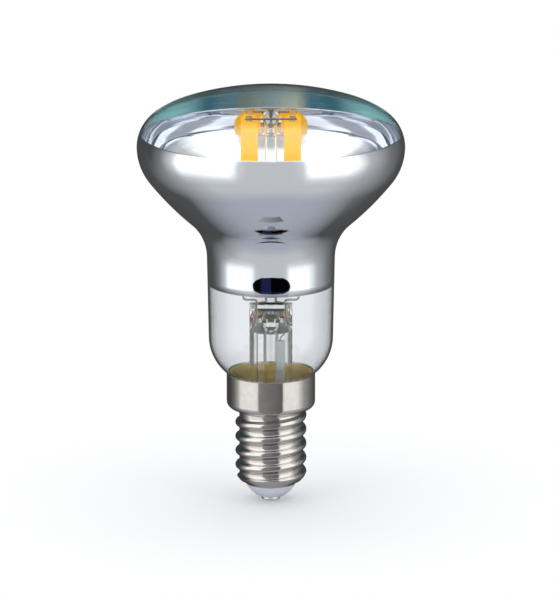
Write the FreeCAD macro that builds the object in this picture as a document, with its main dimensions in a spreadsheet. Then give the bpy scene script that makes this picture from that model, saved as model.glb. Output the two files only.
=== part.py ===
import FreeCAD, Part
import math
import os
import Sketcher

# Reflector bulb: a half mirrored glass envelope with four filament strips inside,
# on a small screw cap with a plain collar. Millimetres, +Z along the lamp axis.
# The origin is the middle of the centre contact's face, at the bottom of the cap.

SIZES = {
    # Glass envelope, outer surface
    "glass_top": 80.56,
    "bulb_radius": 25.5,
    "dome_rise": 11.01,
    "dome_ease": 3.921,
    "shoulder_radius": 17.43,
    "rim_radius": 7.16,
    "belly_radius": 10.08,
    "flank_radius": 59.17,
    "flank_reach": 2.776,
    "waist_radius": 9.5,
    "neck_top_radius": 12.22,
    "neck_low_radius": 11.9,
    "toe_rise": 7.25,
    "toe_clearance": 0.39,
    "glass_wall": 0.8,
    "seal_step": 0.26,
    "seal_gap": 1.2,
    # Mirror coating on the inner surface of the glass
    "mirror_rise": 3.25,
    "mirror_skirt": 5.2,
    "mirror_film": 0.12,
    # Glass stem
    "stem_radius": 4.1,
    "stem_wall": 0.7,
    "stem_length": 14.0,
    "press_length": 5.3,
    "press_thick": 3.4,
    "blow_hole_radius": 1.65,
    "blow_hole_rise": 2.1,
    "tube_radius": 1.45,
    "tube_wall": 0.5,
    "tube_drop": 1.8,
    "post_radius": 1.15,
    "bead_radius": 1.7,
    # Filament strips
    "strip_spacing": 8.2,
    "strip_depth_spacing": 6.0,
    "strip_width": 1.2,
    "strip_thick": 0.4,
    "strip_headroom": 4.56,
    "strip_foot_gap": 8.1,
    "terminal_length": 1.0,
    "jumper_overhang": 0.2,
    "coat_width": 3.2,
    "coat_thick": 1.5,
    "coat_corner": 0.7,
    # Wires
    "wire_radius": 0.2,
    "lead_offset": 2.65,
    "lead_bend_rise": 0.7,
    "lead_bend_radius": 0.6,
    "dumet_radius": 0.35,
    "dumet_cover_low": 1.0,
    "dumet_cover_top": 1.3,
    "outer_radius": 0.15,
    "sleeve_clearance": 0.12,
    "sleeve_top_gap": 1.6,
    "sleeve_rise": 3.3,
    "sleeve_bore": 0.25,
    "sleeve_side": 1.7,
    "lead_tail": 2.6,
    # Cap
    "collar_step": 1.65,
    "collar_top": 25.2,
    "collar_low": 18.4,
    "collar_corner": 1.3,
    "collar_fillet": 0.7,
    "cement_sink": 0.25,
    "thread_radius": 6.85,
    "thread_pitch": 2.822,
    "thread_depth": 0.8,
    "thread_land": 0.02,
    "thread_lead_in": 0.7,
    "thread_turns": 5.5,
    "solid_turns": 2,
    "shell_wall": 0.25,
    "shell_low": 3.4,
    "shell_cone_step": 1.17,
    "shell_cone_rise": 1.6,
    "trim_clearance": 0.1,
    "trim_rise": 2.5,
    "trim_arc": 3.4,
    "insulator_height": 0.9,
    "insulator_lip": 0.4,
    "insulator_face_radius": 2.6,
    "insulator_bulge": 6.0,
    "contact_radius": 1.8,
    "contact_corner": 0.35,
    "pin_radius": 0.6,
    # Driver inside the cap
    "board_side_gap": 0.85,
    "board_thick": 0.8,
    "board_top_gap": 0.6,
    "capacitor_gap": 0.2,
    "capacitor_length": 6.0,
    "capacitor_drop": 1.7,
    "chip_width": 4.4,
    "chip_length": 4.8,
    "chip_thick": 1.3,
    "chip_gap": 0.2,
    "regulator_width": 4.2,
    "regulator_length": 2.6,
    "regulator_thick": 1.3,
    "board_foot": 0.8,
    "resistor_radius": 0.8,
    "resistor_length": 4.2,
    "resistor_gap": 0.2,
    "feed_side": 0.3,
    "feed_length": 3.2,
    "return_gap": 0.95,
    "return_tail": 3.2,
    "liner_gap": 0.44,
    "liner_wall": 0.25,
    "liner_rise": 0.6,
}

Vector = FreeCAD.Vector
Rotation = FreeCAD.Rotation
Placement = FreeCAD.Placement
Rule = Sketcher.Constraint

ORIGIN, UPRIGHT = range(-1, -3, -1)
START, END, MIDDLE = range(1, 4)

doc = FreeCAD.newDocument("ReflectorBulb")
sheet = doc.addObject("Spreadsheet::Sheet", "Sizes")
for row, (alias, number) in enumerate(SIZES.items(), start=1):
    sheet.set(f"A{row}", alias)
    sheet.set(f"B{row}", str(number))
    sheet.setAlias(f"B{row}", alias)
doc.recompute()


class Size:
    """A number in millimetres together with the sheet formula that gives it."""

    def __init__(self, number, formula):
        self.number = number
        self.formula = formula

    def join(self, sign, other, number):
        return Size(number, f"({self.formula} {sign} {formula_of(other)})")

    def __add__(self, other):
        return self.join("+", other, self.number + number_of(other))

    def __sub__(self, other):
        return self.join("-", other, self.number - number_of(other))

    def __mul__(self, other):
        return self.join("*", other, self.number * number_of(other))

    def __truediv__(self, other):
        return self.join("/", other, self.number / number_of(other))

    def __neg__(self):
        return Size(-self.number, f"(0 - {self.formula})")


def number_of(size):
    return size.number if isinstance(size, Size) else size


def formula_of(size):
    return size.formula if isinstance(size, Size) else str(size)


def square_root(size):
    return Size(math.sqrt(size.number), f"sqrt({size.formula})")


class Sheet:
    """Gives each named size of the sheet, as in at.bulb_radius."""

    def __getattr__(self, alias):
        return Size(float(SIZES[alias]), f"Sizes.{alias}")


at = Sheet()


def bind(thing, name, size):
    if isinstance(size, Size):
        thing.setExpression(name, size.formula)
    else:
        setattr(thing, name, size)


def new_body(label):
    body = doc.addObject("PartDesign::Body", label)
    body.Label = label
    return body


def origin_part(body, role):
    return next(part for part in body.Origin.OriginFeatures if part.Role == role)


def new_sketch(body, name, plane="XZ_Plane", offset=None):
    sketch = body.newObject("Sketcher::SketchObject", name)
    sketch.AttachmentSupport = (origin_part(body, plane), [""])
    sketch.MapMode = "FlatFace"
    if offset is not None:
        bind(sketch, "AttachmentOffset.Base.z", offset)
    return sketch


def add_rule(sketch, kind, *places, size=None):
    """Adds a constraint, bound to the sheet where it has a size."""
    if size is None:
        return sketch.addConstraint(Rule(kind, *places))
    index = sketch.addConstraint(Rule(kind, *places, number_of(size)))
    if isinstance(size, Size):
        sketch.setExpression(f"Constraints[{index}]", size.formula)
    return index


def pin_point(sketch, edge, end, across, up):
    """Holds one point of an edge at its distances from the sketch's origin."""
    for kind, size, axis in (("DistanceX", across, UPRIGHT), ("DistanceY", up, ORIGIN)):
        if number_of(size) == 0:
            add_rule(sketch, "PointOnObject", edge, end, axis)
        else:
            add_rule(sketch, kind, ORIGIN, START, edge, end, size=size)


def arc_through(start, end, radius, turn):
    """The shorter arc between two points; turn is 1 for counterclockwise and -1 for clockwise."""
    chord = end - start
    half = chord.Length / 2
    side = Vector(-chord.y, chord.x, 0).normalize() * turn
    centre = (start + end) / 2 + side * math.sqrt(max(radius ** 2 - half ** 2, 0))
    middle = centre - side * radius
    return Part.Arc(start, middle, end)


def draw_outline(sketch, points):
    """Draws a closed outline. Each point is (across, up), with a radius and a turn for an arc to it."""
    places = [Vector(number_of(point[0]), number_of(point[1]), 0) for point in points]
    edges = []
    for index, point in enumerate(points):
        start = places[index - 1]
        end = places[index]
        if len(point) == 2:
            edges.append((sketch.addGeometry(Part.LineSegment(start, end)), START, END))
            continue
        radius, turn = point[2], point[3]
        edge = sketch.addGeometry(arc_through(start, end, number_of(radius), turn))
        edges.append((edge, START, END) if turn > 0 else (edge, END, START))
        add_rule(sketch, "Radius", edge, size=radius)
    for index, (edge, _, last) in enumerate(edges):
        following, first, _ = edges[(index + 1) % len(edges)]
        add_rule(sketch, "Coincident", edge, last, following, first)
        pin_point(sketch, edge, last, points[index][0], points[index][1])
    return edges


def revolve(body, sketch, kind="Revolution"):
    feature = body.newObject(f"PartDesign::{kind}", f"{kind}{len(body.Group)}")
    feature.Profile = sketch
    feature.ReferenceAxis = (sketch, ["V_Axis"])
    feature.Angle = 360
    return feature


def turned(label, points):
    """A body of revolution about the lamp axis."""
    body = new_body(label)
    sketch = new_sketch(body, "Outline")
    draw_outline(sketch, points)
    revolve(body, sketch)
    return body


def turned_cut(body, name, points):
    sketch = new_sketch(body, name)
    draw_outline(sketch, points)
    doc.recompute()
    return revolve(body, sketch, "Groove")


def extrude(body, sketch, length, kind="Pad", midplane=False, reverse=False):
    feature = body.newObject(f"PartDesign::{kind}", f"{kind}{len(body.Group)}")
    feature.Profile = sketch
    bind(feature, "Length", length)
    feature.Midplane = midplane
    feature.Reversed = reverse
    return feature


def rectangle(left, right, low, top):
    return [(right, low), (right, top), (left, top), (left, low)]


def cornered(left, right, low, top, cut):
    """A rectangle with its four corners cut at 45 degrees."""
    return [
        (right - cut, low), (right, low + cut), (right, top - cut), (right - cut, top),
        (left + cut, top), (left, top - cut), (left, low + cut), (left + cut, low),
    ]


def place(body, x=0, y=0, z=0, angle=0):
    if angle:
        body.Placement = Placement(Vector(0, 0, 0), Rotation(Vector(0, 0, 1), angle))
    for axis, size in (("x", x), ("y", y), ("z", z)):
        if isinstance(size, Size):
            body.setExpression(f"Placement.Base.{axis}", size.formula)
    return body


# Shared places, from the cap up. A square root gives the length of a triangle's side.

def side_length(longest, other):
    return square_root(longest * longest - other * other)


# Cap: the knuckle thread's round crests and roots have one radius and touch each other
thread_arc = (at.thread_pitch * at.thread_pitch / 4
              + at.thread_depth * at.thread_depth) / at.thread_depth / 4
root_radius = at.thread_radius - at.thread_depth
core_radius = root_radius + at.thread_land
shell_bore = core_radius - at.shell_wall
first_crest = at.shell_low - at.thread_lead_in
cone_top = at.shell_low + at.shell_cone_rise
mouth_radius = core_radius - at.shell_cone_step
insulator_top = cone_top + at.insulator_lip
collar_radius = at.thread_radius + at.collar_step
collar_bore = collar_radius - at.shell_wall
corner_centre = collar_radius - at.collar_corner
cement_low = at.collar_low + at.collar_corner

# Glass: the toe and the seal fit into the collar, the rest hangs from the top
toe_across = collar_bore - at.toe_clearance
toe_height = at.collar_top - at.cement_sink
neck_low_height = toe_height + at.toe_rise
seal_radius = toe_across - at.seal_step
seal_height = at.collar_low + at.seal_gap
equator_height = at.glass_top - at.dome_rise
rim_inset = at.bulb_radius - at.rim_radius
rim_under_dome = at.dome_rise - at.rim_radius
dome_radius = at.dome_ease + (rim_inset * rim_inset + at.dome_rise * at.dome_rise
                              - at.rim_radius * at.rim_radius) / rim_under_dome / 2
waist_height = equator_height - side_length(
    at.belly_radius + at.waist_radius + at.flank_reach,
    at.bulb_radius - at.belly_radius - at.neck_top_radius - at.waist_radius)
mirror_top = equator_height + at.mirror_rise
mirror_low = waist_height - at.mirror_skirt

# Stem, strips and leads
press_low = seal_height + at.stem_length
press_top = press_low + at.press_length
blow_hole_height = press_low + at.blow_hole_rise
tube_low = seal_height - at.tube_drop
stem_bore = at.stem_radius - at.stem_wall
tube_bore = at.tube_radius - at.tube_wall
flare_radius = seal_radius - at.glass_wall
flare_bend = flare_radius - at.stem_radius
flare_top = seal_height + at.stem_wall + flare_bend
strip_top = at.glass_top - at.strip_headroom
strip_low = press_top + at.strip_foot_gap
coat_top = strip_top - at.terminal_length
coat_low = strip_low + at.terminal_length
jumper_height = (coat_top + strip_top) / 2
bar_height = (coat_low + strip_low) / 2
anchor_height = jumper_height - at.wire_radius * 2
jumper_front = at.strip_depth_spacing / 2 + at.strip_thick / 2 + at.wire_radius
bar_side = at.strip_spacing / 2 + at.strip_width / 2 + at.wire_radius
jumper_length = at.strip_spacing + at.strip_width + at.jumper_overhang * 2
bar_length = at.strip_depth_spacing + at.strip_thick + at.jumper_overhang * 2
lead_bend_height = press_top + at.lead_bend_rise
dumet_low = press_low + at.dumet_cover_low
dumet_top = press_top - at.dumet_cover_top
board_top = tube_low - at.board_top_gap
outer_end = board_top - at.lead_tail
sleeve_radius = (stem_bore - at.tube_radius) / 2 - at.sleeve_clearance
sleeve_front = side_length((stem_bore + at.tube_radius) / 2, at.sleeve_side)
sleeve_top = press_low - at.sleeve_top_gap
sleeve_low = board_top + at.sleeve_rise


# Glass envelope

def meeting_point(first, first_radius, second, second_radius, side):
    """Where two circles cross, on the left (1) or right (-1) of the way from first to second."""
    way = second - first
    along = (first_radius ** 2 - second_radius ** 2 + way.Length ** 2) / (2 * way.Length)
    off = math.sqrt(first_radius ** 2 - along ** 2)
    unit = way / way.Length
    return first + unit * along + Vector(-unit.y, unit.x, 0) * side * off


def touch_point(first, first_radius, second, second_radius):
    """Where two tangent circles touch; a hollow arc has a negative radius."""
    share = first_radius / (first_radius - second_radius)
    return first + (second - first) * share


def glass_arcs(depth):
    """The arcs of the envelope at a depth under its outer surface, from the apex to the waist."""
    dome = dome_radius - depth
    shoulder = at.shoulder_radius - depth
    rim = at.rim_radius - depth
    belly = at.belly_radius - depth
    flank = at.flank_radius - depth
    waist = at.waist_radius + depth
    apex = at.glass_top - depth
    equator = at.bulb_radius - depth
    dome_centre = Vector(0, (apex - dome).number, 0)
    rim_centre = Vector((equator - rim).number, equator_height.number, 0)
    shoulder_centre = meeting_point(
        dome_centre, (dome - shoulder).number, rim_centre, (shoulder - rim).number, 1)
    belly_centre = Vector((equator - belly).number, equator_height.number, 0)
    lean = math.atan2(
        (at.neck_top_radius - at.neck_low_radius).number, (waist_height - neck_low_height).number)
    waist_start = Vector((at.neck_top_radius - depth).number, waist_height.number, 0)
    waist_centre = waist_start + Vector(math.cos(lean), -math.sin(lean), 0) * waist.number
    flank_centre = meeting_point(
        belly_centre, (flank - belly).number, waist_centre, (flank + waist).number, -1)
    points = [
        Vector(0, apex.number, 0),
        touch_point(dome_centre, dome.number, shoulder_centre, shoulder.number),
        touch_point(shoulder_centre, shoulder.number, rim_centre, rim.number),
        Vector(equator.number, equator_height.number, 0),
        touch_point(belly_centre, belly.number, flank_centre, flank.number),
        touch_point(flank_centre, flank.number, waist_centre, -waist.number),
        waist_start,
    ]
    centres = [dome_centre, shoulder_centre, rim_centre, belly_centre, flank_centre, waist_centre]
    radii = [dome, shoulder, rim, belly, flank, waist]
    return points, centres, radii


def arc_about(centre, radius, start, end):
    half_way = (start + end) / 2 - centre
    return Part.Arc(start, centre + half_way / half_way.Length * radius, end)


def draw_glass_line(sketch, depth):
    """Draws the tangent arcs and the tapered neck at one depth; returns the first and last edge."""
    points, centres, radii = glass_arcs(depth)
    arcs = []
    for index, (centre, radius) in enumerate(zip(centres, radii)):
        arc = arc_about(centre, radius.number, points[index], points[index + 1])
        arcs.append(sketch.addGeometry(arc))
        add_rule(sketch, "Radius", arcs[-1], size=radius)
    dome, shoulder, rim, belly, flank, waist = arcs
    neck_end = Vector((at.neck_low_radius - depth).number, neck_low_height.number, 0)
    neck = sketch.addGeometry(Part.LineSegment(points[-1], neck_end))
    # The convex arcs run counterclockwise, so each one starts where the outline from the apex leaves it
    add_rule(sketch, "PointOnObject", dome, MIDDLE, UPRIGHT)
    pin_point(sketch, dome, END, 0, at.glass_top - depth)
    add_rule(sketch, "Tangent", dome, START, shoulder, END)
    add_rule(sketch, "Tangent", shoulder, START, rim, END)
    add_rule(sketch, "Coincident", rim, START, belly, END)
    pin_point(sketch, belly, END, at.bulb_radius - depth, equator_height)
    add_rule(sketch, "DistanceY", ORIGIN, START, rim, MIDDLE, size=equator_height)
    add_rule(sketch, "DistanceY", ORIGIN, START, belly, MIDDLE, size=equator_height)
    add_rule(sketch, "Tangent", belly, START, flank, END)
    add_rule(sketch, "Tangent", flank, START, waist, START)
    add_rule(sketch, "Tangent", waist, END, neck, START)
    pin_point(sketch, neck, START, at.neck_top_radius - depth, waist_height)
    pin_point(sketch, neck, END, at.neck_low_radius - depth, neck_low_height)
    return dome, neck


def toe_place(depth):
    """The end, the centre and the radius of the round toe under the neck, at one depth."""
    taper = (at.neck_top_radius - at.neck_low_radius) / (waist_height - neck_low_height)
    slope = square_root(taper * taper + 1)
    inward = at.neck_low_radius - toe_across
    chord_squared = inward * inward + at.toe_rise * at.toe_rise
    radius = chord_squared * slope / (inward - at.toe_rise * taper) / 2
    centre_across = at.neck_low_radius - radius / slope
    centre_up = neck_low_height + radius * taper / slope
    share = (radius - depth) / radius
    across = centre_across + (toe_across - centre_across) * share
    up = centre_up + (toe_height - centre_up) * share
    return across, up, centre_across, centre_up, radius - depth


def draw_toe(sketch, neck, depth):
    """Draws the round toe under the neck at one depth; returns the edge and its lower point."""
    across, up, centre_across, centre_up, radius = toe_place(depth)
    neck_end = Vector((at.neck_low_radius - depth).number, neck_low_height.number, 0)
    toe_end = Vector(across.number, up.number, 0)
    centre = Vector(centre_across.number, centre_up.number, 0)
    toe = sketch.addGeometry(arc_about(centre, radius.number, neck_end, toe_end))
    add_rule(sketch, "Tangent", neck, END, toe, END)
    pin_point(sketch, toe, START, across, up)
    return toe, toe_end


def draw_link(sketch, first, second, first_place, second_place):
    """Joins two drawn points with a line; a place is an edge and one of its ends."""
    line = sketch.addGeometry(Part.LineSegment(first, second))
    if first_place:
        add_rule(sketch, "Coincident", line, START, *first_place)
    if second_place:
        add_rule(sketch, "Coincident", line, END, *second_place)
    return line


def glass_bulb():
    body = new_body("glass_bulb")
    sketch = new_sketch(body, "Outline")
    outer_dome, outer_neck = draw_glass_line(sketch, 0)
    outer_toe, outer_foot = draw_toe(sketch, outer_neck, 0)
    inner_dome, inner_neck = draw_glass_line(sketch, at.glass_wall)
    inner_toe, inner_foot = draw_toe(sketch, inner_neck, at.glass_wall)
    seal_inner = seal_radius - at.glass_wall
    outer_seal = Vector(seal_radius.number, seal_height.number, 0)
    inner_seal = Vector(seal_inner.number, seal_height.number, 0)
    outer_line = draw_link(sketch, outer_foot, outer_seal, (outer_toe, START), None)
    pin_point(sketch, outer_line, END, seal_radius, seal_height)
    seal_line = draw_link(sketch, outer_seal, inner_seal, (outer_line, END), None)
    pin_point(sketch, seal_line, END, seal_inner, seal_height)
    draw_link(sketch, inner_seal, inner_foot, (seal_line, END), (inner_toe, START))
    inner_apex = Vector(0, (at.glass_top - at.glass_wall).number, 0)
    outer_apex = Vector(0, at.glass_top.number, 0)
    draw_link(sketch, inner_apex, outer_apex, (inner_dome, END), (outer_dome, END))
    revolve(body, sketch)
    return body


def mirror_coating():
    """The metal film on the inner surface, from the rim of the bowl down into the neck."""
    body = new_body("mirror_coating")
    sketch = new_sketch(body, "Film")
    outer_dome, outer_neck = draw_glass_line(sketch, at.glass_wall)
    inner_dome, inner_neck = draw_glass_line(sketch, at.glass_wall + at.mirror_film)
    outer_depth = at.glass_wall
    inner_depth = at.glass_wall + at.mirror_film
    outer_foot = Vector((at.neck_low_radius - outer_depth).number, neck_low_height.number, 0)
    inner_foot = Vector((at.neck_low_radius - inner_depth).number, neck_low_height.number, 0)
    outer_apex = Vector(0, (at.glass_top - outer_depth).number, 0)
    inner_apex = Vector(0, (at.glass_top - inner_depth).number, 0)
    draw_link(sketch, outer_foot, inner_foot, (outer_neck, END), (inner_neck, END))
    draw_link(sketch, inner_apex, outer_apex, (inner_dome, END), (outer_dome, END))
    revolve(body, sketch)
    turned_cut(body, "ClearDome", rectangle(0, at.bulb_radius, mirror_top, at.glass_top))
    turned_cut(body, "ClearNeck", rectangle(0, at.bulb_radius, seal_height, mirror_low))
    return body


# Glass stem: flare and press, exhaust tube, support post

def draw_circle(sketch, across, up, radius):
    centre = Vector(number_of(across), number_of(up), 0)
    circle = sketch.addGeometry(Part.Circle(centre, Vector(0, 0, 1), number_of(radius)))
    pin_point(sketch, circle, MIDDLE, across, up)
    add_rule(sketch, "Radius", circle, size=radius)
    return circle


def round_hole(body, name, across, up, radius, length, plane="XY_Plane", offset=None, reverse=False):
    sketch = new_sketch(body, name, plane, offset)
    draw_circle(sketch, across, up, radius)
    doc.recompute()
    return extrude(body, sketch, length, "Pocket", reverse=reverse)


def rod(label, radius, low, top, across=0):
    """An upright rod beside or on the lamp axis."""
    body = new_body(label)
    sketch = new_sketch(body, "Section", "XY_Plane", low)
    draw_circle(sketch, across, 0, radius)
    extrude(body, sketch, top - low)
    return body


def cross_rod(label, radius, length, plane):
    """A level rod about the middle of its length, square to a plane."""
    body = new_body(label)
    sketch = new_sketch(body, "Section", plane)
    draw_circle(sketch, 0, 0, radius)
    extrude(body, sketch, length, midplane=True)
    return body


def stem_flare():
    """The flared tube that carries everything, closed at its top by the flat press."""
    body = turned("stem_flare", [
        (0, press_low),
        (stem_bore, press_low),
        (stem_bore, flare_top),
        (flare_radius, seal_height, flare_bend + at.stem_wall, 1),
        (flare_radius, seal_height + at.stem_wall),
        (at.stem_radius, flare_top, flare_bend, -1),
        (at.stem_radius, press_low + at.stem_wall),
        (0, press_low + at.stem_wall),
    ])
    foot = new_sketch(body, "PressFoot", "XY_Plane", press_low + at.stem_wall)
    draw_circle(foot, 0, 0, at.stem_radius)
    blade_low = press_low + at.stem_radius
    blade = new_sketch(body, "PressSection", "XY_Plane", blade_low)
    half_thick = at.press_thick / 2
    oval = blade.addGeometry(Part.Ellipse(Vector(0, 0, 0), at.stem_radius.number, half_thick.number))
    blade.exposeInternalGeometry(oval)
    long_axis, short_axis = oval + 1, oval + 2
    add_rule(blade, "Coincident", oval, MIDDLE, ORIGIN, START)
    add_rule(blade, "Horizontal", long_axis)
    add_rule(blade, "Distance", long_axis, size=at.stem_radius * 2)
    add_rule(blade, "Distance", short_axis, size=at.press_thick)
    shoulder = body.newObject("PartDesign::AdditiveLoft", "PressShoulder")
    shoulder.Profile = foot
    shoulder.Sections = [(blade, [""])]
    shoulder.Ruled = True
    doc.recompute()
    extrude(body, blade, press_top - blade_low)
    doc.recompute()
    round_hole(body, "TubeBore", 0, 0, tube_bore, blow_hole_height - press_low,
               offset=blow_hole_height)
    round_hole(body, "BlowHole", 0, blow_hole_height, at.blow_hole_radius, at.stem_radius,
               "XZ_Plane", reverse=True)
    for side, lead in (("Right", at.lead_offset), ("Left", -at.lead_offset)):
        for part, radius, low, top in (
            ("Inner", at.wire_radius, dumet_top, press_top),
            ("Seal", at.dumet_radius, dumet_low, dumet_top),
            ("Outer", at.outer_radius, press_low, dumet_low),
        ):
            round_hole(body, f"{part}Way{side}", lead, 0, radius, top - low, offset=top)
    return body


def exhaust_tube():
    """The pump tube inside the flare, sealed off with a round tip at its lower end."""
    tip = tube_low + at.tube_radius
    return turned("exhaust_tube", [
        (0, tube_low),
        (at.tube_radius, tip, at.tube_radius, 1),
        (at.tube_radius, press_low),
        (tube_bore, press_low),
        (tube_bore, tip),
        (0, tip - tube_bore, tube_bore, -1),
    ])


def support_post():
    """The glass rod on the press, with a bead at its top that holds the anchor wire."""
    rise = square_root(at.bead_radius * at.bead_radius - at.post_radius * at.post_radius)
    body = turned("support_post", [
        (0, press_top),
        (at.post_radius, press_top),
        (at.post_radius, anchor_height - rise),
        (at.bead_radius, anchor_height, at.bead_radius, 1),
        (0, anchor_height + at.bead_radius, at.bead_radius, 1),
    ])
    doc.recompute()
    hole = round_hole(body, "AnchorWay", 0, anchor_height, at.wire_radius, at.bead_radius * 4, "XZ_Plane")
    hole.Midplane = True
    return body


def filament_strip(label):
    """The bare carrier of one filament; its two ends stand out of the coat as terminals."""
    body = new_body(label)
    sketch = new_sketch(body, "Face")
    half = at.strip_width / 2
    draw_outline(sketch, rectangle(-half, half, strip_low, strip_top))
    extrude(body, sketch, at.strip_thick, midplane=True)
    return body


def filament_coat(label):
    """The phosphor coat round one filament, with cut corners and a slot for the carrier."""
    body = new_body(label)
    face = new_sketch(body, "Face")
    half = at.coat_width / 2
    draw_outline(face, cornered(-half, half, coat_low, coat_top, at.coat_corner))
    extrude(body, face, at.coat_thick, midplane=True)
    doc.recompute()
    slot = new_sketch(body, "CarrierSlot")
    draw_outline(slot, rectangle(-at.strip_width / 2, at.strip_width / 2, strip_low, strip_top))
    doc.recompute()
    extrude(body, slot, at.strip_thick, "Pocket", midplane=True)
    return body


def draw_route(sketch, points, bend):
    """Draws straight runs joined by tangent arcs; the points are the corners."""
    places = [Vector(number_of(across), number_of(up), 0) for across, up in points]
    starts = [places[0]]
    ends = []
    arcs = []
    for before, corner, after in zip(places, places[1:], places[2:]):
        back = (before - corner).normalize()
        ahead = (after - corner).normalize()
        opening = back.getAngle(ahead)
        trim = bend.number / math.tan(opening / 2)
        reach = bend.number / math.sin(opening / 2)
        centre = corner + (back + ahead).normalize() * reach
        ends.append(corner + back * trim)
        starts.append(corner + ahead * trim)
        middle = centre + (corner - centre).normalize() * bend.number
        arcs.append((Part.Arc(ends[-1], middle, starts[-1]), back.cross(ahead).z < 0))
    ends.append(places[-1])
    lines = [sketch.addGeometry(Part.LineSegment(*run)) for run in zip(starts, ends)]
    pin_point(sketch, lines[0], START, *points[0])
    pin_point(sketch, lines[-1], END, *points[-1])
    for index, (arc, counterclockwise) in enumerate(arcs):
        edge = sketch.addGeometry(arc)
        first, last = (START, END) if counterclockwise else (END, START)
        add_rule(sketch, "Radius", edge, size=bend)
        add_rule(sketch, "Tangent", lines[index], END, edge, first)
        add_rule(sketch, "Tangent", edge, last, lines[index + 1], START)
        corner = sketch.addGeometry(Part.Point(places[index + 1]), True)
        pin_point(sketch, corner, START, *points[index + 1])
        add_rule(sketch, "PointOnObject", corner, START, lines[index])
        add_rule(sketch, "PointOnObject", corner, START, lines[index + 1])


def bent_wire(label, radius, points, bend):
    """A round wire along straight runs and arcs; its first run is upright."""
    body = new_body(label)
    route = new_sketch(body, "Route")
    draw_route(route, points, bend)
    section = new_sketch(body, "Section", "XY_Plane", points[0][1])
    draw_circle(section, points[0][0], 0, radius)
    wire = body.newObject("PartDesign::AdditivePipe", "Wire")
    wire.Profile = section
    wire.Spine = (route, [])
    return body


def inner_lead(label):
    """From the seal in the press, out to the side and up to the bar at the filaments' feet."""
    side = bar_side + at.wire_radius * 2
    return bent_wire(label, at.wire_radius, [
        (at.lead_offset, dumet_top),
        (at.lead_offset, lead_bend_height),
        (side, lead_bend_height),
        (side, bar_height + at.wire_radius * 2),
    ], at.lead_bend_radius)


def sleeved_lead(label):
    """The lead that steps forward of the exhaust tube, through its sleeve, and back to the board."""
    inward = at.lead_offset - at.sleeve_side
    step = square_root(inward * inward + sleeve_front * sleeve_front)
    lead = bent_wire(label, at.outer_radius, [
        (0, dumet_low),
        (0, press_low - at.lead_bend_radius),
        (step, sleeve_top + at.lead_bend_radius),
        (step, sleeve_low - at.lead_bend_radius),
        (0, board_top + at.lead_bend_radius),
        (0, outer_end),
    ], at.lead_bend_radius)
    turn = math.degrees(math.atan2(-sleeve_front.number, -inward.number))
    return place(lead, at.lead_offset, angle=turn)


def lead_sleeve():
    body = new_body("lead_sleeve")
    sketch = new_sketch(body, "Section", "XY_Plane", sleeve_low)
    draw_circle(sketch, 0, 0, sleeve_radius)
    draw_circle(sketch, 0, 0, at.sleeve_bore)
    extrude(body, sketch, sleeve_top - sleeve_low)
    return place(body, at.sleeve_side, -sleeve_front)


# Cap: one sheet metal shell with a rolled thread and a plain collar

def thread_ridge(body, name, depth, core, inside, low):
    """The rolled thread's section at one crest: a round crest between two round roots."""
    sketch = new_sketch(body, name)
    crest_radius = thread_arc - depth
    root_arc = thread_arc + depth
    crest_across = at.thread_radius - thread_arc
    root_across = root_radius + thread_arc
    half_pitch = at.thread_pitch / 2
    gap = root_across - core
    foot = half_pitch - square_root(root_arc * root_arc - gap * gap)
    share = crest_radius / (thread_arc * 2)
    join_across = crest_across + (root_across - crest_across) * share
    join_up = half_pitch * share
    crest = crest_across + crest_radius
    draw_outline(sketch, [
        (inside, low - foot),
        (core, low - foot),
        (join_across, low - join_up, root_arc, -1),
        (crest, low, crest_radius, 1),
        (join_across, low + join_up, crest_radius, 1),
        (core, low + foot, root_arc, -1),
        (inside, low + foot),
    ])
    return sketch


def wind(body, sketch, kind, turns):
    feature = body.newObject(f"PartDesign::{kind}Helix", f"{kind}Thread")
    feature.Profile = sketch
    feature.ReferenceAxis = (origin_part(body, "Z_Axis"), [""])
    feature.Mode = "pitch-height-angle"
    bind(feature, "Pitch", at.thread_pitch)
    bind(feature, "Height", at.thread_pitch * turns)
    return feature


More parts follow.
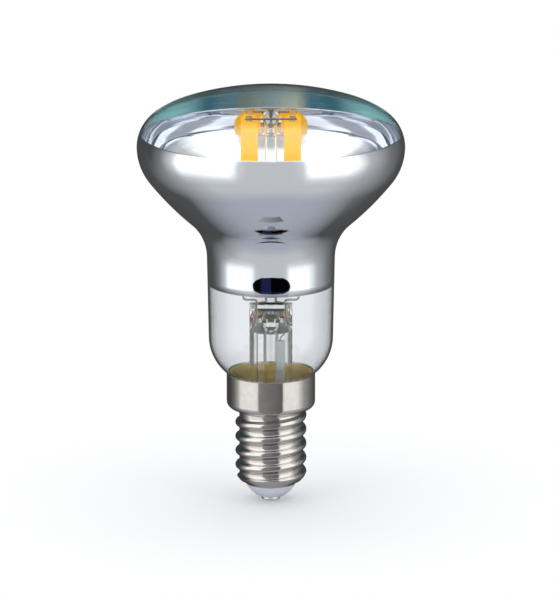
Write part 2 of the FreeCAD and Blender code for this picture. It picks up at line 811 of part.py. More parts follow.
def cap_shell():
    fillet_centre = core_radius + at.collar_fillet
    body = turned("cap_shell", [
        (0, at.shell_low),
        (mouth_radius, at.shell_low),
        (core_radius, cone_top),
        (core_radius, at.collar_low - at.collar_fillet),
        (fillet_centre, at.collar_low, at.collar_fillet, -1),
        (corner_centre, at.collar_low),
        (collar_radius, at.collar_low + at.collar_corner, at.collar_corner, 1),
        (collar_radius, at.collar_top),
        (0, at.collar_top),
    ])
    doc.recompute()
    ridge = thread_ridge(body, "Ridge", 0, core_radius, core_radius - at.shell_wall / 2,
                         first_crest)
    doc.recompute()
    wind(body, ridge, "Additive", at.thread_turns)
    doc.recompute()
    trim_radius = at.thread_radius + at.trim_clearance
    trim_out = trim_radius + at.shell_wall
    trim_height = at.shell_low + at.trim_rise
    turned_cut(body, "RidgeRunOut", [
        (mouth_radius, at.shell_low, at.trim_arc, -1),
        (0, at.shell_low),
        (0, 0),
        (trim_out, 0),
        (trim_out, trim_height),
        (trim_radius, trim_height),
    ])
    doc.recompute()
    inner_fillet = at.collar_fillet + at.shell_wall
    inner_corner = at.collar_corner - at.shell_wall
    turned_cut(body, "Hollow", [
        (0, at.shell_low),
        (mouth_radius - at.shell_wall, at.shell_low),
        (shell_bore, cone_top),
        (shell_bore, at.collar_low - at.collar_fillet),
        (fillet_centre, at.collar_low + at.shell_wall, inner_fillet, -1),
        (corner_centre, at.collar_low + at.shell_wall),
        (collar_bore, cement_low, inner_corner, 1),
        (collar_bore, at.collar_top),
        (0, at.collar_top),
    ])
    doc.recompute()
    hollow_low = first_crest + at.thread_pitch * at.solid_turns
    hollow = thread_ridge(body, "RidgeHollow", at.shell_wall, shell_bore + at.thread_land,
                          shell_bore - at.shell_wall, hollow_low)
    doc.recompute()
    wind(body, hollow, "Subtractive", at.thread_turns - at.solid_turns)
    return body


def cap_insulator():
    """The moulded cone that closes the shell's mouth and carries the centre contact."""
    return turned("cap_insulator", [
        (at.pin_radius, at.insulator_height),
        (at.insulator_face_radius, at.insulator_height),
        (mouth_radius, at.shell_low, at.insulator_bulge, 1),
        (mouth_radius - at.shell_wall, at.shell_low),
        (shell_bore, cone_top),
        (shell_bore, insulator_top),
        (at.pin_radius, insulator_top),
    ])


def centre_contact():
    """The pressed contact: a round edged disc on a pin through the insulator."""
    flat = at.contact_radius - at.contact_corner
    return turned("centre_contact", [
        (0, 0),
        (flat, 0),
        (at.contact_radius, at.contact_corner, at.contact_corner, 1),
        (at.contact_radius, at.insulator_height),
        (at.pin_radius, at.insulator_height),
        (at.pin_radius, insulator_top),
        (0, insulator_top),
    ])


def basing_cement():
    """The ring of cement between the foot of the neck and the collar."""
    rise = (cement_low - seal_height) / (toe_height - seal_height)
    low_across = seal_radius + (toe_across - seal_radius) * rise
    return turned("basing_cement", [
        (low_across, cement_low),
        (collar_bore, cement_low),
        (collar_bore, toe_height),
        (toe_across, toe_height),
    ])


# Driver inside the cap

def slab(label, left, right, low, top, thick, depth):
    """An upright plate drawn in its own face; its front face is at the given depth."""
    body = new_body(label)
    sketch = new_sketch(body, "Face", offset=-depth)
    draw_outline(sketch, rectangle(left, right, low, top))
    extrude(body, sketch, thick, reverse=True)
    return body


board_front = at.outer_radius
board_back = board_front + at.board_thick


def driver_parts():
    liner_radius = shell_bore - at.liner_gap
    liner_bore = liner_radius - at.liner_wall
    half_board = liner_bore - at.board_side_gap
    half_chip = at.chip_width / 2
    half_regulator = at.regulator_width / 2
    chip_top = outer_end - at.chip_gap
    foot = insulator_top + at.board_foot
    slab("driver_board", -half_board, half_board, insulator_top, board_top,
         at.board_thick, board_front)
    slab("rectifier", -half_chip, half_chip, chip_top - at.chip_length, chip_top,
         at.chip_thick, board_front - at.chip_thick)
    slab("current_regulator", -half_regulator, half_regulator, foot, foot + at.regulator_length,
         at.regulator_thick, board_back)
    capacitor_radius = (liner_bore - board_back - at.capacitor_gap) / 2
    capacitor_top = board_top - at.capacitor_drop
    capacitor = rod("smoothing_capacitor", capacitor_radius, capacitor_top - at.capacitor_length,
                    capacitor_top)
    place(capacitor, y=board_back + capacitor_radius)
    resistor = rod("fuse_resistor", at.resistor_radius, foot, foot + at.resistor_length)
    place(resistor, half_chip + at.resistor_gap + at.resistor_radius, board_front - at.resistor_radius)
    feed = rod("feed_wire", at.outer_radius, insulator_top, insulator_top + at.feed_length)
    place(feed, at.feed_side)
    return_side = at.lead_offset + at.return_gap
    return_height = at.collar_low + at.shell_wall + at.outer_radius
    bent_wire("return_wire", at.outer_radius, [
        (-return_side, board_top - at.return_tail),
        (-return_side, return_height),
        (-corner_centre, return_height),
    ], at.lead_bend_radius)
    liner = new_body("insulating_liner")
    section = new_sketch(liner, "Section", "XY_Plane", insulator_top)
    draw_circle(section, 0, 0, liner_radius)
    draw_circle(section, 0, 0, liner_bore)
    extrude(liner, section, board_top + at.liner_rise - insulator_top)


# Assembly

def build_all():
    glass_bulb()
    mirror_coating()
    stem_flare()
    exhaust_tube()
    support_post()
    across = at.strip_spacing / 2
    depth = at.strip_depth_spacing / 2
    for end, y in (("front", -depth), ("rear", depth)):
        for side, x in (("left", -across), ("right", across)):
            place(filament_strip(f"filament_strip_{end}_{side}"), x, y)
            place(filament_coat(f"filament_coat_{end}_{side}"), x, y)
    for end, y in (("front", -jumper_front), ("rear", jumper_front)):
        jumper = cross_rod(f"jumper_wire_{end}", at.wire_radius, jumper_length, "YZ_Plane")
        place(jumper, y=y, z=jumper_height)
    anchor_length = (jumper_front + at.wire_radius) * 2
    place(cross_rod("anchor_wire", at.wire_radius, anchor_length, "XZ_Plane"), z=anchor_height)
    for side, sign in (("left", -1), ("right", 1)):
        bar = cross_rod(f"filament_bar_{side}", at.wire_radius, bar_length, "XZ_Plane")
        place(bar, bar_side * sign, z=bar_height)
        place(inner_lead(f"inner_lead_{side}"), angle=0 if side == "right" else 180)
        rod(f"dumet_seal_{side}", at.dumet_radius, dumet_low, dumet_top, at.lead_offset * sign)
    rod("outer_lead_left", at.outer_radius, outer_end, dumet_low, -at.lead_offset)
    sleeved_lead("outer_lead_right")
    lead_sleeve()
    basing_cement()
    cap_shell()
    cap_insulator()
    centre_contact()
    driver_parts()


def check_and_write():
    doc.recompute()
    for thing in doc.Objects:
        if "Invalid" in thing.State or "Error" in thing.State:
            raise RuntimeError(f"{thing.Label} failed: {thing.State}")
    bodies = [thing for thing in doc.Objects if thing.TypeId == "PartDesign::Body"]
    for body in bodies:
        if body.Shape.isNull() or not body.Shape.isValid():
            raise RuntimeError(f"{body.Label} has no valid solid")
    os.makedirs("parts", exist_ok=True)
    for body in bodies:
        body.Shape.exportStep(os.path.join("parts", f"{body.Label}.step"))
        print(body.Label, round(body.Shape.Volume, 3))


build_all()
check_and_write()
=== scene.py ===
import math

import bpy
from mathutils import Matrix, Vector

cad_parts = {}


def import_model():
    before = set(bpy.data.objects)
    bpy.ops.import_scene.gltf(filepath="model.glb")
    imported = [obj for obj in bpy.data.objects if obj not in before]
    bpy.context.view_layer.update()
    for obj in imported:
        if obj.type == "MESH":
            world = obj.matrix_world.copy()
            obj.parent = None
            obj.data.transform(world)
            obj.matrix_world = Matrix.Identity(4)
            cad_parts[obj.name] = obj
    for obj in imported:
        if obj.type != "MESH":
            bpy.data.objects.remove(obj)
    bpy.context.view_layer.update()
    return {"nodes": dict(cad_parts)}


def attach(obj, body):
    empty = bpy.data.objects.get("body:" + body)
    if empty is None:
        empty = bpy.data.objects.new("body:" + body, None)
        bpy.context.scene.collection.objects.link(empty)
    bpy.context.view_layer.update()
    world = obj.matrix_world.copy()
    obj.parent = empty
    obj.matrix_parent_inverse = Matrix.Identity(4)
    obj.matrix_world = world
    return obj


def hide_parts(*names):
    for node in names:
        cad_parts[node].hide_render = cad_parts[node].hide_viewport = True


# Reflector bulb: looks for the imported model. Lengths are millimetres, unless a comment says metres.

MM = 0.001
SEGMENTS = 192
ON_AXIS = 1e-6

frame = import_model()
nodes = frame["nodes"]

# The envelope's outer surface is a line of tangent arcs from the dome to the seal
GLASS_TOP = 80.56
DOME_RADIUS = 56.66
SHOULDER_RADIUS = 17.43
RIM_RADIUS = 7.16
BULB_RADIUS = 25.5
EQUATOR = 69.55
BELLY_RADIUS = 10.08
FLANK_RADIUS = 59.17
WAIST_RADIUS = 9.5
WAIST_HEIGHT = 48.1
NECK_TOP_RADIUS = 12.22
NECK_LOW_RADIUS = 11.9
NECK_LOW_HEIGHT = 32.2
TOE_RADIUS = 8.85
TOE_HEIGHT = 24.95
SEAL_RADIUS = 7.6
SEAL_HEIGHT = 19.6
# Degrees of turn to a point on the dome, shoulder, rim, belly, flank and waist, and on the toe
ARC_STEPS = [1, 2, 3, 2.5, 0.8, 3]
TOE_STEP = 3
NECK_ROWS = 12
# A thin wall, as a thick one would show the lamp's inside too high
VISUAL_WALL = 0.35
# The mirror's upper edge lies a little under the solid's, where the photograph shows it
MIRROR_TOP = 72.1
MIRROR_LOW = 42.9
MIRROR_FILM = 0.12
MIRROR_GAP = 0.02


# Shapes

def circle_meeting(first, first_radius, second, second_radius, side):
    """Where two circles cross, left (1) or right (-1) of the way from first to second."""
    way = second - first
    along = (first_radius ** 2 - second_radius ** 2 + way.length_squared) / (2 * way.length)
    off = math.sqrt(first_radius ** 2 - along ** 2)
    unit = way.normalized()
    return first + unit * along + Vector((-unit.y, unit.x)) * side * off


def arc_points(centre, radius, start, end, step):
    """Points on an arc from one place to another, without the last one."""
    first = math.atan2(start.y - centre.y, start.x - centre.x)
    last = math.atan2(end.y - centre.y, end.x - centre.x)
    turn = (last - first + math.pi) % (2 * math.pi) - math.pi
    count = max(2, math.ceil(abs(turn) / math.radians(step)))
    angles = [first + turn * index / count for index in range(count)]
    return [centre + Vector((math.cos(angle), math.sin(angle))) * radius for angle in angles]


def glass_line(depth):
    """The envelope's line at a depth under its outer surface, from the apex to the seal."""
    dome, shoulder, rim = DOME_RADIUS - depth, SHOULDER_RADIUS - depth, RIM_RADIUS - depth
    belly, flank, waist = BELLY_RADIUS - depth, FLANK_RADIUS - depth, WAIST_RADIUS + depth
    lean = math.atan2(NECK_TOP_RADIUS - NECK_LOW_RADIUS, WAIST_HEIGHT - NECK_LOW_HEIGHT)
    apex = Vector((0, GLASS_TOP - depth))
    equator = Vector((BULB_RADIUS - depth, EQUATOR))
    dome_centre = apex - Vector((0, dome))
    rim_centre = equator - Vector((rim, 0))
    shoulder_centre = circle_meeting(dome_centre, dome - shoulder, rim_centre, shoulder - rim, 1)
    belly_centre = equator - Vector((belly, 0))
    neck_top = Vector((NECK_TOP_RADIUS - depth, WAIST_HEIGHT))
    neck_low = Vector((NECK_LOW_RADIUS - depth, NECK_LOW_HEIGHT))
    waist_centre = neck_top + Vector((math.cos(lean), -math.sin(lean))) * waist
    flank_centre = circle_meeting(belly_centre, flank - belly, waist_centre, flank + waist, -1)
    toe_centre = neck_low - Vector((math.cos(lean), -math.sin(lean))) * (TOE_RADIUS - depth)
    drop = (TOE_HEIGHT - toe_centre.y) * (TOE_RADIUS - depth) / TOE_RADIUS
    reach = math.sqrt((TOE_RADIUS - depth) ** 2 - drop ** 2)
    toe_end = toe_centre + Vector((reach, drop))
    joins = [
        apex,
        dome_centre + (shoulder_centre - dome_centre).normalized() * dome,
        shoulder_centre + (rim_centre - shoulder_centre).normalized() * shoulder,
        equator,
        flank_centre + (belly_centre - flank_centre).normalized() * flank,
        flank_centre + (waist_centre - flank_centre).normalized() * flank,
        neck_top,
    ]
    centres = [dome_centre, shoulder_centre, rim_centre, belly_centre, flank_centre, waist_centre]
    radii = [dome, shoulder, rim, belly, flank, waist]
    line = []
    for index, (centre, radius, step) in enumerate(zip(centres, radii, ARC_STEPS)):
        line += arc_points(centre, radius, joins[index], joins[index + 1], step)
    line += [neck_top.lerp(neck_low, row / NECK_ROWS) for row in range(NECK_ROWS)]
    line += arc_points(toe_centre, TOE_RADIUS - depth, neck_low, toe_end, TOE_STEP)
    line += [toe_end, Vector((SEAL_RADIUS - depth, SEAL_HEIGHT))]
    return line


def cut_line(line, top, low):
    """The stretch of a falling line between two heights, with its ends cut exactly."""
    kept = []
    for first, second in zip(line, line[1:]):
        for height in (top, low):
            if first.y > height > second.y:
                kept.append(first.lerp(second, (first.y - height) / (first.y - second.y)))
        if low < second.y < top:
            kept.append(second)
    return sorted(kept, key=lambda place: -place.y)


def turned_mesh(name, loop):
    """Turns a closed outline about the lamp axis. It runs clockwise, seen with +X to the right."""
    vertices = []
    rings = []
    for place in loop:
        if abs(place.x) < ON_AXIS:
            rings.append([len(vertices)] * SEGMENTS)
            vertices.append((0, 0, place.y * MM))
            continue
        rings.append(list(range(len(vertices), len(vertices) + SEGMENTS)))
        for step in range(SEGMENTS):
            angle = 2 * math.pi * step / SEGMENTS
            vertices.append((place.x * math.cos(angle) * MM, place.x * math.sin(angle) * MM, place.y * MM))
    faces = []
    for upper, lower in zip(rings, rings[1:] + rings[:1]):
        for step in range(SEGMENTS):
            after = (step + 1) % SEGMENTS
            corners = [upper[step], lower[step], lower[after], upper[after]]
            # On the axis two corners are one, and the face is a triangle
            corners = list(dict.fromkeys(corners))
            if len(corners) > 2:
                faces.append(corners)
    mesh = bpy.data.meshes.new(name)
    mesh.from_pydata(vertices, [], faces)
    mesh.validate()
    mesh.shade_smooth()
    piece = bpy.data.objects.new(name, mesh)
    bpy.context.scene.collection.objects.link(piece)
    return piece


# Materials

def new_material(name):
    material = bpy.data.materials.new(name)
    material.use_nodes = True
    tree = material.node_tree
    shader = tree.nodes["Principled BSDF"]
    return material, tree, shader


def add_node(tree, kind, **sockets):
    node = tree.nodes.new(kind)
    for name, value in sockets.items():
        node.inputs[name].default_value = value
    return node


def noise(tree, scale, detail=3.0, stretch=(1, 1, 1)):
    """Noise in the object's own place, so that it stays on the surface from any side."""
    place = tree.nodes.new("ShaderNodeTexCoord")
    mapping = tree.nodes.new("ShaderNodeMapping")
    mapping.inputs["Scale"].default_value = stretch
    texture = add_node(tree, "ShaderNodeTexNoise", Scale=scale, Detail=detail)
    tree.links.new(place.outputs["Object"], mapping.inputs["Vector"])
    tree.links.new(mapping.outputs["Vector"], texture.inputs["Vector"])
    return texture


def spread(tree, source, low, high):
    """A value from 0 to 1 spread between two others."""
    node = add_node(tree, "ShaderNodeMapRange")
    node.inputs["To Min"].default_value = low
    node.inputs["To Max"].default_value = high
    tree.links.new(source, node.inputs["Value"])
    return node.outputs["Result"]


def ramp(tree, source, stops):
    """Colours along a source, as (position from 0 to 1, grey level or colour)."""
    node = tree.nodes.new("ShaderNodeValToRGB")
    elements = node.color_ramp.elements
    while len(elements) < len(stops):
        elements.new(0.5)
    for element, (position, level) in zip(elements, stops):
        element.position = position
        element.color = (*level, 1) if isinstance(level, tuple) else (level, level, level, 1)
    tree.links.new(source, node.inputs["Fac"])
    return node.outputs["Color"]


def two_colours(tree, source, first, second):
    return ramp(tree, source, [(0.3, first), (0.7, second)])


def bump(tree, shader, height, distance, strength=1.0):
    node = add_node(tree, "ShaderNodeBump", Distance=distance, Strength=strength)
    tree.links.new(height, node.inputs["Height"])
    tree.links.new(node.outputs["Normal"], shader.inputs["Normal"])


def plain_finish(name, first, second, roughness, metallic=0.0, grain=900.0, depth=0.00002):
    """A finish of two near colours with fine grain in its colour, gloss and surface."""
    material, tree, shader = new_material(name)
    texture = noise(tree, grain)
    tree.links.new(two_colours(tree, texture.outputs["Fac"], first, second), shader.inputs["Base Color"])
    tree.links.new(
        spread(tree, texture.outputs["Fac"], roughness * 0.8, roughness * 1.2), shader.inputs["Roughness"])
    shader.inputs["Metallic"].default_value = metallic
    bump(tree, shader, texture.outputs["Fac"], depth)
    return material, shader


def glass_finish(name, tint, density):
    """Clear glass that tints the light by the way through it, with faint ripples along its height."""
    material, tree, shader = new_material(name)
    shader.inputs["Base Color"].default_value = (1, 1, 1, 1)
    shader.inputs["Transmission Weight"].default_value = 1
    shader.inputs["IOR"].default_value = 1.5
    shader.inputs["Roughness"].default_value = 0.0
    absorb = tree.nodes.new("ShaderNodeVolumeAbsorption")
    absorb.inputs["Color"].default_value = (*tint, 1)
    absorb.inputs["Density"].default_value = density
    tree.links.new(absorb.outputs["Volume"], tree.nodes["Material Output"].inputs["Volume"])
    ripple = noise(tree, 90, 1.0, (1, 1, 0.3))
    bump(tree, shader, ripple.outputs["Fac"], 0.00003, 0.15)
    return material


def mirror_finish():
    material, tree, shader = new_material("mirror_film")
    texture = noise(tree, 60, 2.0)
    tree.links.new(
        two_colours(tree, texture.outputs["Fac"], (0.84, 0.87, 0.93), (0.88, 0.90, 0.95)),
        shader.inputs["Base Color"])
    shader.inputs["Metallic"].default_value = 1
    shader.inputs["Roughness"].default_value = 0.04
    return material


def dress(node, material):
    mesh = nodes[node].data
    mesh.materials.clear()
    mesh.materials.append(material)


def dress_all(materials):
    for material, names in materials:
        for name in names:
            dress(name, material)


# Envelope and mirror, turned finer than the frame's own meshes

def glass_envelope():
    outer = glass_line(0)
    inner = glass_line(VISUAL_WALL)
    piece = turned_mesh("clear_envelope", outer + inner[::-1])
    piece.data.materials.append(glass_finish("blown_glass", (0.30, 0.52, 0.50), 110.0))
    piece.visible_shadow = False
    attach(piece, "root")
    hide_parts("glass_bulb")


def mirror_film():
    outer = cut_line(glass_line(VISUAL_WALL + MIRROR_GAP), MIRROR_TOP, MIRROR_LOW)
    inner = cut_line(glass_line(VISUAL_WALL + MIRROR_FILM), MIRROR_TOP, MIRROR_LOW)
    piece = turned_mesh("bowl_mirror", outer + inner[::-1])
    piece.data.materials.append(mirror_finish())
    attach(piece, "root")
    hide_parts("mirror_coating")


# Camera. Its distance, aim and clip start are in metres, and its sensor is in millimetres.

CAMERA_RISE = math.radians(14)
CAMERA_DISTANCE = 1.0
AIM = Vector((0, 0, 0.041))
PIXELS_WIDE = 555
PIXELS_HIGH = 594
PIXELS_PER_MM = 5.229
AXIS_PIXEL = 270.9
AIM_PIXEL = 292.33
SENSOR = 36.0
CLIP_START = 0.01


def camera():
    data = bpy.data.cameras.new("camera")
    view = bpy.data.objects.new("camera", data)
    bpy.context.scene.collection.objects.link(view)
    away = Vector((0, -math.cos(CAMERA_RISE), math.sin(CAMERA_RISE)))
    view.location = AIM + away * CAMERA_DISTANCE
    view.rotation_euler = (-away).to_track_quat("-Z", "Y").to_euler()
    data.sensor_fit = "HORIZONTAL"
    data.sensor_width = SENSOR
    data.lens = PIXELS_PER_MM * CAMERA_DISTANCE / MM / PIXELS_WIDE * SENSOR
    data.shift_x = (PIXELS_WIDE / 2 - AXIS_PIXEL) / PIXELS_WIDE
    data.shift_y = (AIM_PIXEL - PIXELS_HIGH / 2) / PIXELS_WIDE
    data.clip_start = CLIP_START
    bpy.context.scene.camera = view


# Stage: studio, floor, cards and lamps

def link_math(tree, operation, *sources):
    """A math node; each source is a number or a socket."""
    node = tree.nodes.new("ShaderNodeMath")
    node.operation = operation
    for index, source in enumerate(sources):
        if isinstance(source, (int, float)):
            node.inputs[index].default_value = source
        else:
            tree.links.new(source, node.inputs[index])
    return node.outputs[0]


# The studio that the mirror and the glass show. Its levels go round the lamp in degrees from the
# camera's side, rightward positive, and up by the sine of the height angle.
DARK = 0.05
FRONT = 0.5
PANEL = 1.4
# At eye height two bright panels stand left and right of a grey front, and it is dark behind
EYE_ROUND = [(-180, DARK), (-125, 0.06), (-110, 0.18), (-95, 0.6), (-85, PANEL), (-38, PANEL), (-28, 0.6),
             (-20, FRONT), (20, FRONT), (28, 0.6), (36, PANEL), (72, PANEL), (95, 0.45), (125, 0.16),
             (155, 0.06), (180, DARK)]
# Lower down the grey front fades evenly into the dark
LOW_ROUND = [(-180, DARK), (-140, 0.07), (-60, FRONT), (60, FRONT), (150, 0.07), (180, DARK)]
# The shares of eye height, of the ceiling, of the ground and of the dark wall behind the lamp
EYE_SHARE = [(-1, 0), (-0.6, 0), (-0.45, 0.15), (-0.25, 0.7), (-0.1, 1), (1, 1)]
CEILING_SHARE = [(-1, 0), (0.72, 0), (0.88, 1), (1, 1)]
GROUND_SHARE = [(-1, 1), (-0.95, 0.9), (-0.75, 0), (1, 0)]
WALL_SHARE = [(-1, 0), (0.1, 0), (0.22, 1), (0.4, 1), (0.6, 0), (1, 0)]
BEHIND = [(-180, 1), (-135, 1), (-110, 0), (110, 0), (135, 1), (180, 1)]
BACKDROP = [(-180, 1), (-158, 1), (-146, 0), (146, 0), (158, 1), (180, 1)]
CEILING_COLOUR = (1.1, 1.12, 1.15)
GROUND_COLOUR = (0.36, 0.37, 0.41)
WALL_COLOUR = (0.03, 0.06, 0.065)
BACKDROP_COLOUR = (0.63, 0.64, 0.68)
STUDIO_LEVEL = 1.2
FILL_COLOUR = (0.96, 0.98, 1.0)
FILL_LEVEL = 0.95


def mixed(tree, share, first, second):
    """The first colour, and the second by its share."""
    node = tree.nodes.new("ShaderNodeMix")
    node.data_type = "RGBA"
    for name, source in (("Factor", share), ("A", first), ("B", second)):
        if isinstance(source, tuple):
            node.inputs[name].default_value = (*source, 1)
        else:
            tree.links.new(source, node.inputs[name])
    return node.outputs["Result"]


def world():
    """White to the camera, an even fill to dull surfaces, and the studio to mirror and glass."""
    light = bpy.data.worlds.new("studio")
    light.use_nodes = True
    bpy.context.scene.world = light
    tree = light.node_tree
    fill = tree.nodes["Background"]
    fill.inputs["Color"].default_value = (*FILL_COLOUR, 1)
    fill.inputs["Strength"].default_value = FILL_LEVEL
    way = tree.nodes.new("ShaderNodeTexCoord").outputs["Generated"]
    parts = tree.nodes.new("ShaderNodeSeparateXYZ")
    tree.links.new(way, parts.inputs[0])
    right, ahead, up = parts.outputs
    turn = link_math(tree, "ARCTAN2", right, link_math(tree, "MULTIPLY", ahead, -1.0))
    round_share = link_math(tree, "MULTIPLY_ADD", turn, 1 / (2 * math.pi), 0.5)
    up_share = link_math(tree, "MULTIPLY_ADD", up, 0.5, 0.5)

    def by_angle(stops):
        return ramp(tree, round_share, [((angle + 180) / 360, grey) for angle, grey in stops])

    def by_height(stops):
        return ramp(tree, up_share, [((sine + 1) / 2, grey) for sine, grey in stops])

    round_light = mixed(tree, by_height(EYE_SHARE), by_angle(LOW_ROUND), by_angle(EYE_ROUND))
    over_ground = mixed(tree, by_height(GROUND_SHARE), round_light, GROUND_COLOUR)
    behind = link_math(tree, "MULTIPLY", by_height(WALL_SHARE), by_angle(BEHIND))
    with_wall = mixed(tree, behind, over_ground, WALL_COLOUR)
    room = mixed(tree, by_height(CEILING_SHARE), with_wall, CEILING_COLOUR)
    path = tree.nodes.new("ShaderNodeLightPath")
    # A ray that met no mirror on its way out at the back shows the backdrop through the glass
    straight = link_math(tree, "LESS_THAN", path.outputs["Glossy Depth"], 0.5)
    through = link_math(tree, "MULTIPLY", by_angle(BACKDROP), straight)
    shown = add_node(tree, "ShaderNodeBackground", Strength=STUDIO_LEVEL)
    tree.links.new(mixed(tree, through, room, BACKDROP_COLOUR), shown.inputs["Color"])
    soft = link_math(tree, "GREATER_THAN", path.outputs["Diffuse Depth"], 0.5)
    seen = tree.nodes.new("ShaderNodeMixShader")
    tree.links.new(soft, seen.inputs[0])
    tree.links.new(shown.outputs[0], seen.inputs[1])
    tree.links.new(fill.outputs[0], seen.inputs[2])
    white = add_node(tree, "ShaderNodeBackground", Strength=1.0)
    white.inputs["Color"].default_value = (1, 1, 1, 1)
    out = tree.nodes.new("ShaderNodeMixShader")
    tree.links.new(path.outputs["Is Camera Ray"], out.inputs[0])
    tree.links.new(seen.outputs[0], out.inputs[1])
    tree.links.new(white.outputs[0], out.inputs[2])
    tree.links.new(out.outputs[0], tree.nodes["World Output"].inputs["Surface"])


FLOOR_RADIUS = 300
FLOOR_CORNERS = 96
FLOOR_DROP = 0.1
FLOOR_WHITE = 0.93
# The floor's fade into white, by the way from the lamp's axis
FADE_START = 5
FADE_END = 75


def floor():
    """A pale floor that fades into the white backdrop away from the lamp."""
    mesh = bpy.data.meshes.new("floor")
    angles = [2 * math.pi * corner / FLOOR_CORNERS for corner in range(FLOOR_CORNERS)]
    ring = [(math.cos(angle) * FLOOR_RADIUS * MM, math.sin(angle) * FLOOR_RADIUS * MM, -FLOOR_DROP * MM)
            for angle in angles]
    mesh.from_pydata(ring, [], [range(FLOOR_CORNERS)])
    piece = bpy.data.objects.new("floor", mesh)
    bpy.context.scene.collection.objects.link(piece)
    material, tree, shader = new_material("floor_white")
    shader.inputs["Base Color"].default_value = (FLOOR_WHITE, FLOOR_WHITE, FLOOR_WHITE, 1)
    shader.inputs["Roughness"].default_value = 0.9
    shader.inputs["Specular IOR Level"].default_value = 0.0
    place = tree.nodes.new("ShaderNodeTexCoord")
    reach = tree.nodes.new("ShaderNodeVectorMath")
    reach.operation = "LENGTH"
    tree.links.new(place.outputs["Object"], reach.inputs[0])
    far = add_node(tree, "ShaderNodeMapRange")
    far.interpolation_type = "SMOOTHSTEP"
    far.inputs["From Min"].default_value = FADE_START * MM
    far.inputs["From Max"].default_value = FADE_END * MM
    tree.links.new(reach.outputs["Value"], far.inputs["Value"])
    path = tree.nodes.new("ShaderNodeLightPath")
    seen = link_math(tree, "MAXIMUM", path.outputs["Is Camera Ray"], path.outputs["Is Transmission Ray"])
    white = add_node(tree, "ShaderNodeEmission", Strength=1.0)
    mix = tree.nodes.new("ShaderNodeMixShader")
    tree.links.new(link_math(tree, "MULTIPLY", far.outputs["Result"], seen), mix.inputs[0])
    tree.links.new(shader.outputs[0], mix.inputs[1])
    tree.links.new(white.outputs[0], mix.inputs[2])
    tree.links.new(mix.outputs[0], tree.nodes["Material Output"].inputs["Surface"])
    mesh.materials.append(material)
    piece.visible_glossy = False
    piece.visible_transmission = False


def card(name, outline, away, stops):
    """An upright flat card that only mirror and glass show, in the plane y = away.

    Its stops are colours by their place along x.
    """
    mesh = bpy.data.meshes.new(name)
    mesh.from_pydata([(x * MM, away * MM, z * MM) for x, z in outline], [], [range(len(outline))])
    piece = bpy.data.objects.new(name, mesh)
    bpy.context.scene.collection.objects.link(piece)
    material, tree, shader = new_material(name)
    tree.nodes.remove(shader)
    place = tree.nodes.new("ShaderNodeTexCoord")
    parts = tree.nodes.new("ShaderNodeSeparateXYZ")
    tree.links.new(place.outputs["Object"], parts.inputs[0])
    reach = max(abs(x) for x, _ in outline) * MM
    share = link_math(tree, "MULTIPLY_ADD", parts.outputs[0], 0.5 / reach, 0.5)
    colours = ramp(tree, share, [((x * MM / reach + 1) / 2, colour) for x, colour in stops])
    shown = add_node(tree, "ShaderNodeEmission", Strength=1.0)
    tree.links.new(colours, shown.inputs["Color"])
    tree.links.new(shown.outputs[0], tree.nodes["Material Output"].inputs["Surface"])
    mesh.materials.append(material)
    piece.visible_camera = False
    piece.visible_diffuse = False
    piece.visible_shadow = False
    return piece


# Softboxes: azimuth from the camera's side to the right and rise in degrees, then distance, width
# and height in metres, then strength
SOFTBOXES = {
    "left_softbox": (-50, 25, 0.9, 0.6, 0.8, 0.5),
    "right_softbox": (55, 20, 0.9, 0.6, 0.8, 0.4),
    "top_softbox": (180, 75, 0.8, 0.8, 0.6, 0.5),
}


def softbox(name, azimuth, rise, distance, width, height, strength):
    """An area light that faces the lamp and lights dull surfaces only."""
    data = bpy.data.lights.new(name, "AREA")
    data.shape = "RECTANGLE"
    data.size = width
    data.size_y = height
    # An even glow of strength 1 gives pi watts to the square metre
    data.energy = strength * width * height * math.pi
    lamp = bpy.data.objects.new(name, data)
    bpy.context.scene.collection.objects.link(lamp)
    turn = math.radians(azimuth)
    lift = math.radians(rise)
    way = Vector((math.sin(turn) * math.cos(lift), -math.cos(turn) * math.cos(lift), math.sin(lift)))
    lamp.location = AIM + way * distance
    lamp.rotation_euler = (-way).to_track_quat("-Z", "Y").to_euler()
    lamp.visible_camera = False
    lamp.visible_glossy = False
    lamp.visible_transmission = False


# Planes of the cards: before the neck, before the cap and behind the dome
NECK_CARD_AWAY = -13.3
CAP_CARD_AWAY = -14
DOME_CARD_AWAY = 40
BLACK = (0.001, 0.001, 0.002)
BLUE = (0.012, 0.016, 0.055)
CYAN = (0.24, 0.66, 0.64)
TEAL = (0.008, 0.12, 0.17)
GREY = (0.11, 0.20, 0.22)
GREEN_WHITE = (0.42, 0.52, 0.47)


def shield_card():
    """The dark shield with a blue stripe that shows in the mirrored neck."""
    outline = [(-2.7, 41.2), (3.3, 41.2), (4.3, 42.9), (5.2, 44.1), (4.9, 44.9), (4.2, 45.6), (3.0, 46.2),
               (0.4, 46.45), (-2.2, 46.3), (-3.9, 45.6), (-4.7, 44.8), (-4.7, 44.1), (-3.9, 42.9)]
    stops = [(-5.1, BLACK), (-2.5, BLACK), (-2.3, BLUE), (-0.1, BLUE), (0.1, BLACK)]
    card("neck_card", outline, NECK_CARD_AWAY, stops)


def cap_card():
    """The darker band down the middle of the collar and the thread."""
    outline = [(-6.4, 0), (5.8, 0), (5.8, 27), (-6.4, 27)]
    stops = [(-6.4, 0.55), (-5.6, 0.36), (-1.0, 0.27), (5.8, 0.17)]
    card("cap_card", outline, CAP_CARD_AWAY, stops)


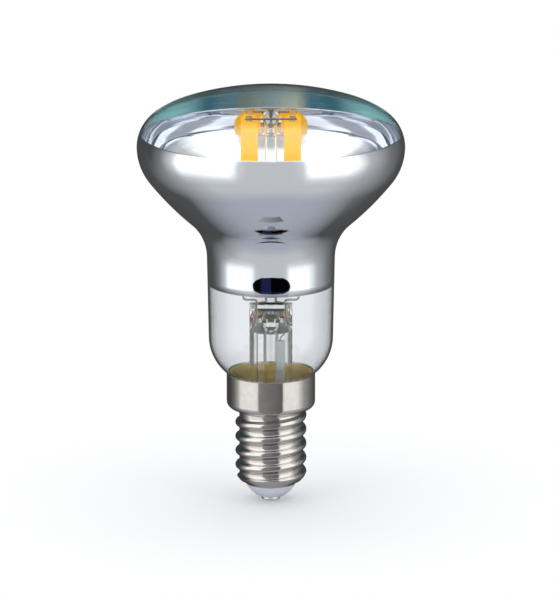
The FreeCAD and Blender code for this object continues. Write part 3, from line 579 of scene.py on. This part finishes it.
def dome_card():
    """The teal wall that shows through the dome, above the far edge of the mirror."""
    outline = [(-27, 66.5), (27, 66.5), (27, 76), (-27, 76)]
    stops = [(-20, CYAN), (-13, TEAL), (-5, GREY), (5, GREEN_WHITE), (8, TEAL), (13, TEAL), (20, CYAN)]
    wall = card("dome_card", outline, DOME_CARD_AWAY, stops)
    wall.visible_glossy = False


def studio():
    world()
    floor()
    shield_card()
    cap_card()
    dome_card()
    for name, row in SOFTBOXES.items():
        softbox(name, *row)


def render_rules():
    scene = bpy.context.scene
    scene.view_settings.view_transform = "Standard"
    scene.cycles.max_bounces = 24
    scene.cycles.transmission_bounces = 20
    scene.cycles.glossy_bounces = 12
    scene.cycles.transparent_max_bounces = 12


# Finishes of the carried over nodes

def dress_nodes():
    stem = glass_finish("stem_glass", (0.75, 0.95, 0.94), 60.0)
    phosphor, phosphor_shader = plain_finish(
        "phosphor", (1.0, 0.50, 0.02), (1.0, 0.56, 0.03), 0.45, grain=1500)
    # Painted glow: a faint orange emission on the phosphor stands in for light falling on it inside the
    # glass, not the lamp shining
    phosphor_shader.inputs["Emission Color"].default_value = (1.0, 0.52, 0.02, 1)
    phosphor_shader.inputs["Emission Strength"].default_value = 0.5
    terminal, _ = plain_finish("terminal_metal", (0.72, 0.70, 0.66), (0.8, 0.78, 0.74), 0.3, 1.0)
    wire, _ = plain_finish("bare_wire", (0.30, 0.29, 0.28), (0.42, 0.40, 0.38), 0.3, 1.0)
    dumet, _ = plain_finish("dumet_red", (0.75, 0.10, 0.10), (0.85, 0.22, 0.18), 0.3)
    sleeve, _ = plain_finish("sleeve_white", (0.86, 0.90, 0.94), (0.94, 0.96, 0.98), 0.6, grain=3000)
    cement, _ = plain_finish("cement_yellow", (0.93, 0.55, 0.02), (0.93, 0.80, 0.07), 0.7, grain=250)
    nickel, _ = plain_finish(
        "cap_nickel", (0.55, 0.53, 0.51), (0.60, 0.58, 0.555), 0.12, 1.0, depth=0.000004)
    pale, pale_shader = plain_finish("insulator_pale", (0.56, 0.57, 0.66), (0.62, 0.63, 0.72), 0.35)
    pale_shader.inputs["Subsurface Weight"].default_value = 0.3
    pale_shader.inputs["Subsurface Radius"].default_value = (0.001, 0.001, 0.0012)
    contact, _ = plain_finish("contact_nickel", (0.66, 0.64, 0.62), (0.74, 0.72, 0.70), 0.25, 1.0)
    board, _ = plain_finish("board_green", (0.03, 0.16, 0.06), (0.05, 0.22, 0.09), 0.4)
    black, _ = plain_finish("black_moulding", (0.015, 0.015, 0.017), (0.03, 0.03, 0.032), 0.45)
    can, _ = plain_finish("can_sleeve", (0.02, 0.025, 0.05), (0.03, 0.035, 0.07), 0.3)
    lacquer, _ = plain_finish("lacquer_blue", (0.10, 0.25, 0.32), (0.14, 0.32, 0.40), 0.4)
    liner, _ = plain_finish("liner_plastic", (0.75, 0.75, 0.72), (0.82, 0.82, 0.80), 0.5)
    dress_all([
        (stem, ["stem_flare", "exhaust_tube", "support_post"]),
        (phosphor, [name for name in nodes if name.startswith("filament_coat")]),
        (terminal, [name for name in nodes if name.startswith("filament_strip")]),
        (wire, ["jumper_wire_front", "jumper_wire_rear", "anchor_wire", "filament_bar_left",
                "filament_bar_right", "inner_lead_left", "inner_lead_right", "outer_lead_left",
                "outer_lead_right", "feed_wire", "return_wire"]),
        (dumet, ["dumet_seal_left", "dumet_seal_right"]),
        (sleeve, ["lead_sleeve"]),
        (cement, ["basing_cement"]),
        (nickel, ["cap_shell"]),
        (pale, ["cap_insulator"]),
        (contact, ["centre_contact"]),
        (board, ["driver_board"]),
        (black, ["rectifier", "current_regulator"]),
        (can, ["smoothing_capacitor"]),
        (lacquer, ["fuse_resistor"]),
        (liner, ["insulating_liner"]),
    ])


camera()
glass_envelope()
mirror_film()
dress_nodes()
studio()
render_rules()
